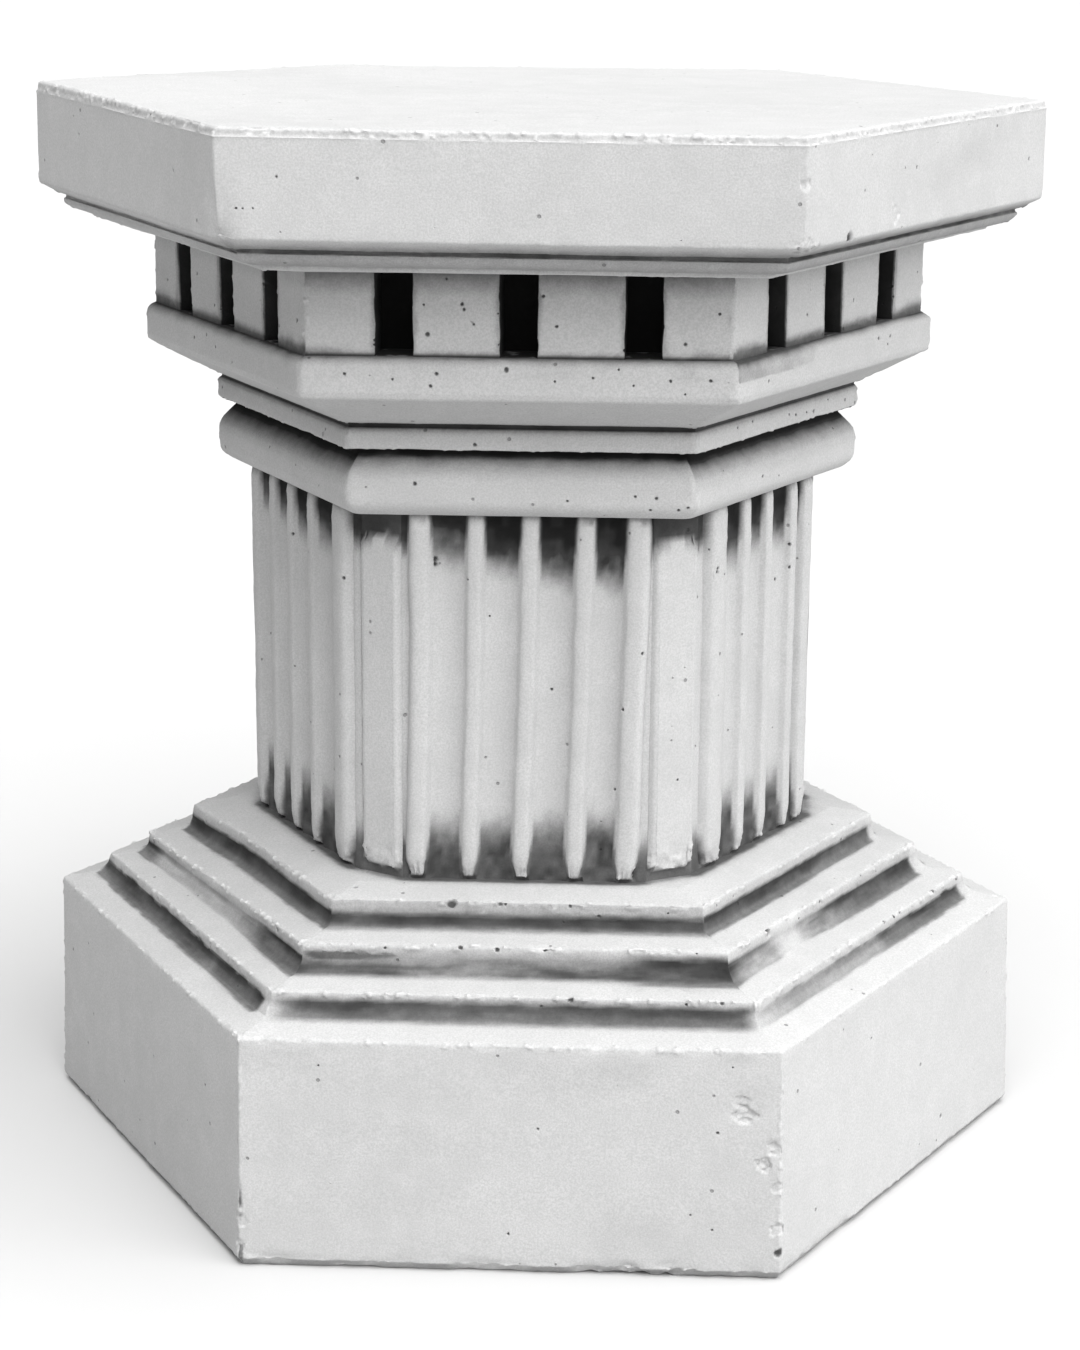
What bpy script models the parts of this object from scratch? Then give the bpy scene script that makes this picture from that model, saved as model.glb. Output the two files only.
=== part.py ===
"""Hexagonal cast pedestal: stepped plinth, fluted shaft, moulded capital and top slab.

One piece of cast concrete. Metres, +Z up, the ground is z = 0. The front face looks
along -Y, so two of the six corners lie on the X axis. Widths are measured across
the flats of the hexagon unless the comment says otherwise.
"""
import bpy
import bmesh
import math
from mathutils import Vector

# Plan
SIDES = 6
SLAB_WIDTH = 0.3722            # top slab and top edge of the plinth share this width

# Plinth
PLINTH_HEIGHT = 0.0973
PLINTH_SPREAD = 0.0026         # how far each face leans out from top to foot
PLINTH_CHAMFER_IN = 0.0020
PLINTH_CHAMFER_UP = 0.0035

# Three steps on the plinth, counted from the shaft outward
STEP_1_TREAD = 0.0148
STEP_2_TREAD = 0.0156
STEP_3_TREAD = 0.0140
PLINTH_TREAD = 0.0145
STEP_1_RISE = 0.0105
STEP_2_RISE = 0.0112
STEP_3_RISE = 0.0089
STEP_1_BATTER = 0.0018         # how far the riser leans in from foot to edge
STEP_2_BATTER = 0.0045
STEP_3_BATTER = 0.0040
STEP_1_FALL = 0.0026           # drop of the tread from its inner end to its edge
STEP_2_FALL = 0.0025
STEP_3_FALL = 0.0029
PLINTH_FALL = 0.0043
STEP_EDGE_ROUND = 0.0022

# Shaft
SHAFT_HEIGHT = 0.1525          # from the top step to the underside of the torus
SHAFT_WIDTH = 0.2290           # across the crests of the ribs
RIBS_PER_FACE = 5
RIB_WIDTH = 0.0075
END_RIB_WIDTH = 0.0095
RIB_ROUND = 0.0018
FLUTE_DEPTH = 0.0058
PANEL_WIDTH = 0.0180
PANEL_SPAN = 0.2470            # from the panel on one corner to the panel opposite
PANEL_TOP_GAP = 0.0090
PANEL_FOOT_GAP = 0.0040
CORNER_GROOVE_WIDTH = 0.0052
CORNER_GROOVE_DEPTH = 0.0068   # below the crests of the ribs

# Torus and the neck groove over it
TORUS_WIDTH = 0.2412
TORUS_LOWER_HEIGHT = 0.0105    # from its underside to its widest line
TORUS_UPPER_HEIGHT = 0.0150
NECK_GROOVE_DEPTH = 0.0080     # below the widest line of the torus
NECK_GROOVE_HEIGHT = 0.0046

# Fillet band, shadow groove and big moulding
BAND_HEIGHT = 0.0082
SHADOW_GROOVE_HEIGHT = 0.0026
SHADOW_GROOVE_DEPTH = 0.0030
BEVEL_FOOT_OUT = 0.0010        # the bevel starts this far outside the band
BEVEL_HEIGHT = 0.0143
MOULDING_WIDTH = 0.2946
MOULDING_HEIGHT = 0.0120
MOULDING_ROUND = 0.0030
MOULDING_SLOPE_HEIGHT = 0.0030

# Frieze with its dentils
FRIEZE_WIDTH = 0.2870
FRIEZE_HEIGHT = 0.0335
SLOTS_PER_FACE = 3
SLOT_WIDTH = 0.0150
SLOT_PITCH = 0.0482
SLOT_DEPTH = 0.0210
SLOT_SILL_DROP = 0.0015        # slot floor below the foot of the frieze

# Moulding under the slab
LIP_WIDTH = 0.3340
LIP_RISE = 0.0020              # rise of the soffit from the frieze to the lip
LIP_HEIGHT = 0.0018
OVOLO_WIDTH = 0.3542
OVOLO_HEIGHT = 0.0060
QUIRK_DEPTH = 0.0018
QUIRK_HEIGHT = 0.0020
SOFFIT_BEVEL_OUT = 0.0070
SOFFIT_BEVEL_HEIGHT = 0.0044

# Top slab
SLAB_HEIGHT = 0.0412
SLAB_LIP_HEIGHT = 0.0033
SLAB_LIP_BACK = 0.0008

# Number of flat pieces in a curve
ARC_PIECES = 6
ROUND_PIECES = 3


def clear_scene():
    for obj in list(bpy.data.objects):
        bpy.data.objects.remove(obj, do_unlink=True)


def arc(centre, reach, start, end, pieces):
    """Points of an ellipse round centre, from angle start to end in degrees."""
    points = []
    for i in range(pieces + 1):
        a = math.radians(start + (end - start) * i / pieces)
        points.append((centre[0] + reach[0] * math.cos(a), centre[1] + reach[1] * math.sin(a)))
    return points


def step(profile, foot, z_foot, rise, batter):
    """Adds one riser with its rounded edge; returns the half width and height of the edge."""
    edge = foot - batter
    z_edge = z_foot + rise
    r = STEP_EDGE_ROUND
    profile.append((foot, z_foot))
    profile += arc((edge - r, z_edge - r), (r, r), 0.0, 80.0, ROUND_PIECES)
    return edge, z_edge


def base_profile():
    """Half width and height of the plinth and steps, from the ground up to the shaft."""
    top = SLAB_WIDTH / 2
    foot = top + PLINTH_SPREAD
    r = STEP_EDGE_ROUND
    profile = [(foot - PLINTH_CHAMFER_IN, 0.0), (foot, PLINTH_CHAMFER_UP)]
    profile += arc((top - r, PLINTH_HEIGHT - r), (r, r), 0.0, 75.0, ROUND_PIECES)
    edge, z = step(profile, top - PLINTH_TREAD, PLINTH_HEIGHT + PLINTH_FALL,
                   STEP_3_RISE, STEP_3_BATTER)
    edge, z = step(profile, edge - STEP_3_TREAD, z + STEP_3_FALL, STEP_2_RISE, STEP_2_BATTER)
    edge, z = step(profile, edge - STEP_2_TREAD, z + STEP_2_FALL, STEP_1_RISE, STEP_1_BATTER)
    return profile, edge, z


def core_half():
    """Half width of the plain core inside the shaft, clear of flutes and grooves."""
    return SHAFT_WIDTH / 2 - max(FLUTE_DEPTH, CORNER_GROOVE_DEPTH) - 0.005


def full_profile():
    """The whole outline of the mitred body and the heights the shaft runs between."""
    profile, edge, z = base_profile()
    z_shaft = z + STEP_1_FALL
    profile.append((edge - STEP_1_TREAD, z_shaft))
    profile.append((core_half(), z_shaft))

    z = z_shaft + SHAFT_HEIGHT
    torus = TORUS_WIDTH / 2
    neck = torus - NECK_GROOVE_DEPTH
    profile.append((core_half(), z))
    z_wide = z + TORUS_LOWER_HEIGHT
    lower = arc((neck, z_wide), (NECK_GROOVE_DEPTH, TORUS_LOWER_HEIGHT), -90.0, 0.0, ARC_PIECES)
    upper = arc((neck, z_wide), (NECK_GROOVE_DEPTH, TORUS_UPPER_HEIGHT), 0.0, 90.0, ARC_PIECES)
    profile += lower
    profile += upper[1:]

    z = z_wide + TORUS_UPPER_HEIGHT + NECK_GROOVE_HEIGHT
    profile += [(neck, z), (torus, z)]
    z += BAND_HEIGHT
    profile += [(torus, z), (torus - SHADOW_GROOVE_DEPTH, z)]
    z += SHADOW_GROOVE_HEIGHT
    profile += [(torus - SHADOW_GROOVE_DEPTH, z), (torus + BEVEL_FOOT_OUT, z)]

    z += BEVEL_HEIGHT
    moulding = MOULDING_WIDTH / 2
    r = MOULDING_ROUND
    profile.append((moulding - 0.3 * r, z))
    profile.append((moulding, z + 0.5 * r))
    z += MOULDING_HEIGHT
    profile += arc((moulding - r, z - r), (r, r), 0.0, 50.0, ROUND_PIECES)

    z += MOULDING_SLOPE_HEIGHT
    frieze = FRIEZE_WIDTH / 2
    z_frieze = z
    profile.append((frieze, z))
    z += FRIEZE_HEIGHT
    profile.append((frieze, z))

    z += LIP_RISE
    lip = LIP_WIDTH / 2
    profile.append((lip, z))
    z += LIP_HEIGHT
    profile.append((lip, z))
    ovolo = OVOLO_WIDTH / 2
    z += OVOLO_HEIGHT
    profile += arc((lip, z), (ovolo - lip, OVOLO_HEIGHT), -70.0, 0.0, ARC_PIECES)
    profile.append((ovolo - QUIRK_DEPTH, z))
    z += QUIRK_HEIGHT
    slab = SLAB_WIDTH / 2
    profile += [(ovolo - QUIRK_DEPTH, z), (slab - SOFFIT_BEVEL_OUT, z)]

    z += SOFFIT_BEVEL_HEIGHT
    profile.append((slab, z))
    z += SLAB_HEIGHT
    profile.append((slab, z - SLAB_LIP_HEIGHT))
    profile.append((slab - SLAB_LIP_BACK, z))
    return profile, z_shaft, z_frieze


def mitred_body(profile):
    """Sweeps a profile of half widths round the hexagon and closes both ends."""
    mesh = bmesh.new()
    to_corner = 1.0 / math.cos(math.pi / SIDES)
    rings = []
    for half, z in profile:
        ring = []
        for k in range(SIDES):
            a = 2.0 * math.pi * k / SIDES
            r = half * to_corner
            ring.append(mesh.verts.new((r * math.cos(a), r * math.sin(a), z)))
        rings.append(ring)
    for low, high in zip(rings, rings[1:]):
        for k in range(SIDES):
            n = (k + 1) % SIDES
            mesh.faces.new((low[k], low[n], high[n], high[k]))
    mesh.faces.new(list(reversed(rings[0])))
    mesh.faces.new(rings[-1])
    return mesh


def rib(points, centre, width, crest):
    """Adds the rounded crest of one rib, from left to right."""
    r = RIB_ROUND
    left = centre - width / 2 + r
    right = centre + width / 2 - r
    points += [(s, n) for s, n in arc((left, crest - r), (r, r), 180.0, 90.0, ROUND_PIECES)]
    points += [(s, n) for s, n in arc((right, crest - r), (r, r), 90.0, 0.0, ROUND_PIECES)]


def face_outline():
    """One shaft face as (along, out) points between the two corner panels."""
    crest = SHAFT_WIDTH / 2
    half_turn = math.pi / SIDES
    panel = PANEL_SPAN / 2
    edge_s = panel * math.sin(half_turn) - PANEL_WIDTH / 2 * math.cos(half_turn)
    edge_n = panel * math.cos(half_turn) + PANEL_WIDTH / 2 * math.sin(half_turn)
    ribs_end = edge_s - CORNER_GROOVE_WIDTH
    inner = RIBS_PER_FACE - 2
    flute = (2 * ribs_end - inner * RIB_WIDTH - 2 * END_RIB_WIDTH) / (RIBS_PER_FACE - 1)
    floor = crest - CORNER_GROOVE_DEPTH

    points = [(-edge_s, edge_n), (-edge_s + 0.2 * CORNER_GROOVE_WIDTH, floor + 0.0008)]
    points.append((-ribs_end - 0.35 * CORNER_GROOVE_WIDTH, floor))
    at = -ribs_end
    for k in range(RIBS_PER_FACE):
        width = END_RIB_WIDTH if k in (0, RIBS_PER_FACE - 1) else RIB_WIDTH
        rib(points, at + width / 2, width, crest)
        at += width
        if k < RIBS_PER_FACE - 1:
            base = crest - RIB_ROUND
            reach = (flute / 2, FLUTE_DEPTH - RIB_ROUND)
            points += arc((at + flute / 2, base), reach, 180.0, 360.0, 2 * ROUND_PIECES)[1:-1]
            at += flute
    points.append((ribs_end + 0.35 * CORNER_GROOVE_WIDTH, floor))
    points += [(edge_s - 0.2 * CORNER_GROOVE_WIDTH, floor + 0.0008), (edge_s, edge_n)]
    return points


def shaft_body(z_low, z_high):
    """The ribbed shaft as an upright prism."""
    mesh = bmesh.new()
    outline = []
    for k in range(SIDES):
        a = -math.pi / 2 + 2.0 * math.pi * k / SIDES
        for s, n in face_outline():
            x = n * math.cos(a) - s * math.sin(a)
            y = n * math.sin(a) + s * math.cos(a)
            outline.append((x, y))
    low = [mesh.verts.new((x, y, z_low)) for x, y in outline]
    high = [mesh.verts.new((x, y, z_high)) for x, y in outline]
    count = len(outline)
    for i in range(count):
        j = (i + 1) % count
        mesh.faces.new((low[i], low[j], high[j], high[i]))
    mesh.faces.new(list(reversed(low)))
    mesh.faces.new(high)
    return mesh


def add_box(mesh, angle, along, out, z):
    """One box set square to the direction angle; each range is (from, to)."""
    verts = []
    for zz in z:
        for n, s in ((out[0], along[0]), (out[1], along[0]), (out[1], along[1]), (out[0], along[1])):
            x = n * math.cos(angle) - s * math.sin(angle)
            y = n * math.sin(angle) + s * math.cos(angle)
            verts.append(mesh.verts.new(Vector((x, y, zz))))
    low = verts[:4]
    high = verts[4:]
    mesh.faces.new(list(reversed(low)))
    mesh.faces.new(high)
    for i in range(4):
        j = (i + 1) % 4
        mesh.faces.new((low[i], low[j], high[j], high[i]))


def slot_cutters(z_frieze):
    """The dark slots that part the dentils."""
    mesh = bmesh.new()
    frieze = FRIEZE_WIDTH / 2
    for k in range(SIDES):
        a = -math.pi / 2 + 2.0 * math.pi * k / SIDES
        for i in range(SLOTS_PER_FACE):
            mid = (i - (SLOTS_PER_FACE - 1) / 2) * SLOT_PITCH
            along = (mid - SLOT_WIDTH / 2, mid + SLOT_WIDTH / 2)
            out = (frieze - SLOT_DEPTH, frieze + 0.010)
            add_box(mesh, a, along, out, (z_frieze - SLOT_SILL_DROP, z_frieze + FRIEZE_HEIGHT))
    return mesh


def panel_cutters(z_shaft):
    """Cuts each corner panel short of the torus above and of the step below."""
    mesh = bmesh.new()
    half_turn = math.pi / SIDES
    floor = (SHAFT_WIDTH / 2 - CORNER_GROOVE_DEPTH) / math.cos(half_turn)
    reach = PANEL_WIDTH / 2 + 0.4 * CORNER_GROOVE_WIDTH
    z_top = z_shaft + SHAFT_HEIGHT
    inner = min(floor, PANEL_SPAN / 2) - 0.004
    outer = PANEL_SPAN / 2 + 0.003
    for k in range(SIDES):
        a = 2.0 * math.pi * k / SIDES
        add_box(mesh, a, (-reach, reach), (inner, outer), (z_top - PANEL_TOP_GAP, z_top + 0.002))
        add_box(mesh, a, (-reach, reach), (inner, outer), (z_shaft - 0.002, z_shaft + PANEL_FOOT_GAP))
    return mesh


def to_object(name, mesh):
    data = bpy.data.meshes.new(name)
    bmesh.ops.recalc_face_normals(mesh, faces=mesh.faces[:])
    mesh.to_mesh(data)
    mesh.free()
    obj = bpy.data.objects.new(name, data)
    bpy.context.scene.collection.objects.link(obj)
    return obj


def combine(target, tool, operation):
    """Applies an exact Boolean and removes the tool."""
    modifier = target.modifiers.new(operation, 'BOOLEAN')
    modifier.operation = operation
    modifier.solver = 'EXACT'
    modifier.object = tool
    depsgraph = bpy.context.evaluated_depsgraph_get()
    result = bpy.data.meshes.new_from_object(target.evaluated_get(depsgraph))
    target.modifiers.clear()
    target.data = result
    bpy.data.objects.remove(tool, do_unlink=True)


def build():
    clear_scene()
    profile, z_shaft, z_frieze = full_profile()
    body = to_object("pedestal", mitred_body(profile))

    # The shaft is cut first, then joined: its ends lie inside the top step and the torus
    shaft = to_object("shaft", shaft_body(z_shaft - 0.006, z_shaft + SHAFT_HEIGHT + TORUS_LOWER_HEIGHT))
    combine(shaft, to_object("panel_ends", panel_cutters(z_shaft)), 'DIFFERENCE')
    combine(body, shaft, 'UNION')
    combine(body, to_object("slots", slot_cutters(z_frieze)), 'DIFFERENCE')

    mesh = bmesh.new()
    mesh.from_mesh(body.data)
    bmesh.ops.remove_doubles(mesh, verts=mesh.verts[:], dist=0.00002)
    bmesh.ops.triangulate(mesh, faces=mesh.faces[:])
    mesh.to_mesh(body.data)
    mesh.free()
    body.data.name = "pedestal"


build()
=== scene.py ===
"""Looks of the hexagonal pedestal: a weathered concrete casting, its dark wash and painted shade, soft light
and camera.
"""

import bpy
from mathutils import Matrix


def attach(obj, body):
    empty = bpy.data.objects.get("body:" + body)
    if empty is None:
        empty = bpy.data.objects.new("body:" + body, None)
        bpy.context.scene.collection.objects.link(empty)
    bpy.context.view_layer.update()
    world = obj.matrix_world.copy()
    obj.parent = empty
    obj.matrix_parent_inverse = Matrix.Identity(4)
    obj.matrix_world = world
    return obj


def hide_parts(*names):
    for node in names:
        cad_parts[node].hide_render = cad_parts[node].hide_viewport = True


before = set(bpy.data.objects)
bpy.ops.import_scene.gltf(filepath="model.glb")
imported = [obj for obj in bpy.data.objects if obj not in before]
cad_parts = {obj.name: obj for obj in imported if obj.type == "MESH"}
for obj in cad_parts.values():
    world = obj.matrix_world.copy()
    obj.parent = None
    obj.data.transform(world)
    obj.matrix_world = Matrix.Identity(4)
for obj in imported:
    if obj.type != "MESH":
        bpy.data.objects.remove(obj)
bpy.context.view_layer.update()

import math

import bmesh
import bpy
import numpy as np
from mathutils import Matrix, Vector

SIDES = 6
FRONT = -math.pi / 2  # direction of the front face's normal
TAN30 = math.tan(math.pi / SIDES)
COS30 = math.cos(math.pi / SIDES)
LEFT, RIGHT = 5, 1  # numbers of the faces beside the front face, which is 0

# Heights of the main lines, in metres from the ground
Z_CHAMFER = 0.0038
Z_PLINTH = 0.0973
Z_SHAFT = 0.1402
Z_TORUS = 0.2955
Z_FRIEZE = 0.3637
Z_FRIEZE_TOP = 0.3965
Z_SLAB = 0.4127
Z_RIM = 0.4503
Z_TOP = 0.4538

# Half widths of the plinth's underside, its chamfer and its top edge, and of the slab
FOOT_HALF = 0.1861
CHAMFER_HALF = 0.1889
PLINTH_HALF = 0.1861
SLAB_HALF = 0.1861
OUTER_WALL = 0.18  # only the outsides of the plinth and the slab lie farther out
CORNER_OUT = 0.215  # about the reach of a corner of the plinth or the slab

# Steps: half width and height of each riser's foot and nose, from the lowest step up
STEPS = [
    (0.1716, 0.1012, 0.1679, 0.1105),
    (0.1534, 0.1132, 0.1491, 0.1246),
    (0.1336, 0.127, 0.1317, 0.1376),
]

# Shaft section
CREST = 0.1145
FLUTE_DEPTH = 0.0046
RIB_SHOULDER = 0.002
FLUTE_DROP = RIB_SHOULDER + 0.0003  # from a rib's crest to the sides of a flute
PANEL_OUT = 0.1235
PANEL_HALF = 0.0091
PANEL_EDGE = 0.003
PANEL_TRIM = 0.0017  # how much less the front-left panel reaches on the front face
GROOVE_FLOOR = 0.1098
RIBS_END = 0.0488
CORE_OUT = GROOVE_FLOOR * COS30 + (RIBS_END + 0.002) * 0.5  # reach of a corner under its panel
Z_PANEL_TOP = 0.2846
Z_PANEL_FOOT = 0.145

# Centre and width of the five ribs of a face, in millimetres: as designed, and as the casting has them
EVEN_RIBS = [(-44.0, 9.6), (-22.0, 7.6), (0.0, 7.6), (22.0, 7.6), (44.0, 9.6)]
RIBS = {
    0: [(-41.8, 9.4), (-19.5, 7.4), (1.9, 7.8), (24.1, 8.0), (45.5, 10.2)],
    LEFT: [(-45.5, 9.6), (-25.7, 7.6), (-6.3, 7.6), (15.8, 7.6), (43.8, 14.0)],
    RIGHT: [(-36.5, 14.4), (-14.0, 7.6), (5.2, 7.6), (26.7, 7.6), (40.2, 9.6)],
}
# How much of the front face's lean each of its ribs takes above the middle
FRONT_LEAN = (0.25, 0.5, 0.8, 1.0, 0.9)
# How far a corner panel slid along its corner and sank, by the face to its left
PANEL_SLIDE = {0: 0.0014, LEFT: 0.0043}
PANEL_SUNK = {RIGHT: 0.0028}

# Lower limit of the dark wash at the top of each flute, left to right
FLUTE_WASH = {
    0: (0.2796, 0.275, 0.2722, 0.2712),
    LEFT: (0.2818, 0.2805, 0.2775, 0.2785),
    RIGHT: (0.2736, 0.277, 0.2755, 0.2805),
}
EVEN_WASH = (0.277, 0.2745, 0.2765, 0.274)
# Upper limit of the wash at the foot of each flute, on the front and every other face, and on the rest
FOOT_WASH = [(0.1615, 0.1612, 0.1632, 0.1652), (0.165, 0.1635, 0.1645, 0.163)]

# Slots of the frieze
FRIEZE_HALF = 0.1435
SLOT_PITCH = 0.0482
SLOT_HALF = 0.0075
SLOT_DEPTH = 0.02
# How far the foot of each slot leans along its face, in millimetres, left to right
SLOT_LEAN = {LEFT: (3.0, 2.2, 0.5), RIGHT: (0.0, -0.4, -1.5)}

# Strength of the wash along each riser's foot, as (place from -1 to 1 along the face, strength)
EVEN_BAND = [(-1, 0.1), (-0.94, 0.8), (-0.5, 0.85), (0.1, 0.7), (0.6, 0.85), (0.94, 0.8), (1, 0.1)]
BANDS = {
    (0, 0): [(-1, 0.15), (-0.93, 0.55), (-0.8, 0.93), (0.8, 0.97), (0.92, 0.9), (0.98, 0.35), (1, 0.1)],
    (0, LEFT): [(-1, 0), (-0.97, 0.75), (-0.85, 0.75), (-0.7, 0.92), (0.2, 0.9), (0.4, 0.75), (0.6, 0.85),
                (0.91, 0.9), (0.94, 0.1), (1, 0)],
    (0, RIGHT): [(-1, 0.3), (-0.8, 0.52), (0.08, 0.56), (0.16, 0.74), (0.5, 0.78), (0.58, 0.88),
                 (0.88, 0.88), (0.92, 0.28), (1, 0.2)],
    (1, 0): [(-1, 0.95), (-0.9, 0.9), (-0.6, 0.9), (-0.5, 0.7), (-0.1, 0.75), (0.3, 0.85), (0.6, 0.97),
             (1, 1)],
    (1, LEFT): [(-1, 0), (-0.97, 0.85), (-0.85, 0.85), (-0.72, 0.5), (-0.4, 0.4), (0.2, 0.4), (0.45, 0.6),
                (0.6, 0.92), (1, 1)],
    (1, RIGHT): [(-1, 0.9), (-0.88, 0.62), (-0.58, 0.55), (-0.48, 0.24), (-0.36, 0.24), (-0.29, 0.5),
                 (0.0, 0.78), (0.18, 0.98), (0.86, 1.04), (0.9, 0.28), (1, 0.2)],
    (2, 0): [(-1, 0.9), (-0.6, 0.95), (0, 0.9), (0.4, 0.95), (0.98, 1), (1, 0.7)],
    (2, LEFT): [(-1, 0), (-0.97, 0.9), (-0.6, 0.95), (0.6, 1), (1, 1)],
    (2, RIGHT): [(-1, 0.85), (-0.8, 0.95), (-0.1, 0.95), (0.3, 0.8), (0.9, 0.8), (0.94, 0.28), (1, 0.2)],
}
# Wash up each riser: (part of the rise, or millimetres out on the tread when below zero, strength)
RISER_WASH = [
    [(-5.5, 0), (-4.2, 0.1), (-1.9, 0.5), (0.04, 0.8), (0.22, 0.88), (0.4, 0.97), (0.6, 0.95), (0.76, 0.6),
     (0.9, 0.2)],
    [(-4.5, 0), (-3.0, 0.12), (-0.8, 0.6), (0.09, 0.95), (0.23, 0.97), (0.37, 0.82), (0.51, 0.62),
     (0.65, 0.4), (0.95, 0.1)],
    [(-6.0, 0), (-5.0, 0.05), (-3.0, 0.4), (-1.5, 0.6), (0.0, 0.85), (0.16, 0.95), (0.4, 1.0),
     (0.55, 0.75), (0.68, 0.3)],
]
# The same for the right end of the middle riser on the front, and for the side faces
DARK_END = [(-7.0, 0), (-6.0, 0.12), (-4.0, 0.7), (-1.6, 0.8), (0.05, 0.95), (0.33, 1.08), (0.62, 1.08),
            (0.78, 0.6), (0.88, 0.1)]
SIDE_WASH = [(-5.0, 0), (-4.2, 0.25), (-3.4, 0.75), (0.0, 0.85), (0.25, 0.97), (0.56, 1.04), (0.66, 0.25),
             (0.95, 0.1)]

# Larger air holes and chips that the casting shows: face, then along, out, height, radius, depth in mm
HOLES = [
    (0, -26.9, 132, 138, 2.3, 2), (0, -7.1, 133.2, 137.6, 1.3, 1), (0, -5, 133, 137.6, 0.8, 0.8),
    (0, 15.8, 132.9, 137, 1.5, 0.7), (0, 21.5, 132.9, 137, 0.9, 0.7), (0, -67.5, 121, 139.8, 1, 1.2),
    (0, -22.3, 149.5, 124.8, 1, 1.3), (0, -7.2, 152, 124.6, 1.2, 1), (0, 12.2, 150.8, 124.6, 1, 1.3),
    (0, 23.4, 167.9, 110, 1.7, 1.2), (0, 83.6, 167.9, 110, 1, 0.9), (1, -52.5, 150, 123.1, 1.9, 1.5),
    (0, -4.6, 147.2, 359.7, 1.2, 1.1), (0, -35.3, 109.9, 276.3, 1.2, 1.5),
    (0, -35.3, 109.9, 274.3, 1, 1.5), (1, 22.8, 114.5, 268.5, 0.9, 0.9), (1, 23.4, 114.5, 258.3, 0.9, 0.9),
    (1, 17.4, 114.5, 253.8, 0.8, 0.8), (1, -39.6, 114.5, 268.6, 0.9, 0.9),
    (0, -99.4, 186, 424.4, 0.55, 0.5), (0, -96.9, 186, 424.4, 0.45, 0.4),
    (0, -93.2, 186, 424.5, 0.45, 0.35), (0, -84.4, 186, 436.2, 0.6, 0.4), (1, 19, 167.9, 110.2, 1.1, 0.9),
    (1, 28, 167.9, 110.2, 1.1, 0.9), (1, 34, 167.9, 110.2, 0.9, 0.8), (1, 67, 167.9, 110.2, 1.3, 1),
    (0, -67, 147.3, 357.4, 0.7, 0.6), (0, -48.5, 147.3, 355.5, 0.6, 0.5), (0, -31.5, 147.3, 358, 0.8, 0.7),
    (0, 14.2, 147.3, 355.5, 0.6, 0.5), (0, 28.8, 147.3, 357, 0.7, 0.6), (0, 44.5, 147.3, 354.3, 0.6, 0.5),
    (0, 58.7, 147.3, 356.2, 0.7, 0.6), (0, 74, 147.3, 356.6, 0.8, 0.7), (0, -36.6, 143.4, 384, 0.6, 0.5),
    (0, -35.2, 143.4, 372.5, 1, 0.8), (0, -17.3, 143.4, 376.6, 0.6, 0.5),
    (0, 14.6, 143.4, 376.2, 0.7, 0.6), (0, 64, 143.4, 369.9, 0.8, 0.7), (0, 77, 143.4, 381.8, 0.7, 0.6),
    (0, 45.4, 120.8, 305.4, 0.7, 0.6), (0, 53.9, 120.8, 304.8, 0.8, 0.7),
    (0, 51.5, 120.6, 299.6, 0.7, 0.6), (0, 62.7, 120.6, 299.8, 0.8, 0.7),
    (0, 66.5, 120.7, 301.2, 0.7, 0.6),
]
CHIPS = [
    (0, 93.4, 187.2, 69.9, 4, 1.8), (0, 92, 187.2, 76, 3, 1.3), (0, 101, 187.6, 50, 3.2, 1.5),
    (0, 105.5, 187.6, 56, 2.8, 1.3), (0, 107, 188, 40, 2.4, 1.2), (0, 107.5, 188.3, 22, 2.8, 1.2),
    (0, 108, 188.6, 12, 2.2, 1.2), (1, -107.7, 186.1, 436.1, 2.2, 0.9), (1, -104, 184, 413.4, 4.5, 1.5),
    (1, -98, 184, 413.2, 2.4, 1), (1, -72, 186, 413.5, 2.6, 1.4), (1, -34, 186, 419.1, 3.4, 0.6),
    (0, -108, 188.2, 20, 3, 0.8), (0, -108.5, 188.4, 9, 2.6, 1),
]

EDGE_STEP = 0.0012  # longest mesh edge along a worn edge
WASH_AND_SHADE_STEP = 0.0016  # longest mesh edge across the limit of the wash and painted shade
HOLE_STEP = 0.0009  # longest mesh edge in an air hole or a chip
FINE_STEP = 0.0006  # first mesh edge beside a corner

# Grey tones of the material
STONE_TONES = (0.44, 0.48)
PALE_TONE = 0.54
GRAIN_TONE = 0.345
WORN_TONE = 0.6
HOLE_TONE = 0.11
WASH_TONES = (0.018, 0.036)
# near black that the strongest wash reaches in the slots, the neck and the tops of the flutes: wash with
# painted shade there
DEEP_WASH_AND_SHADE_TONE = 0.006

# Light, floor and camera
WORLD_STRENGTH = 0.157
FLOOR_TONE = 0.5
FLOOR_REACH = 60.0
# name, azimuth and elevation in degrees, strength, angular width in degrees
SUNS = [
    ("front_right_low", -45, 20, 0.82, 45),
    ("front_right_high", -45, 50, 0.82, 45),
    ("right", 0, 25, 1.6, 45),
    ("front_high", -90, 50, 2.33, 45),
    ("overhead", -60, 84, 2.8, 60),
]
FOCAL_PIXELS = 2983.2  # in the photograph's frame of 1080 x 1350 pixels
FRAME_HEIGHT = 1350
SENSOR_WIDTH = 36.0
CAMERA_PLACE = (0.06071, -1.28365, 0.54411)
CAMERA_DEGREES = (-2.5933, 15.0346, 0.3876)  # yaw, pitch and roll


def lattice(ix, iy, iz, seed):
    """A repeatable value from 0 to 1 for each whole-number point."""
    h = (ix * 374761393 + iy * 668265263 + iz * 1442695041 + seed * 974711) & 0xFFFFFFFF
    h = ((h ^ (h >> 13)) * 1274126177) & 0xFFFFFFFF
    h = ((h ^ (h >> 16)) * 2246822519) & 0xFFFFFFFF
    return ((h ^ (h >> 15)) & 0xFFFFFF) / float(0xFFFFFF)


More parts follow.
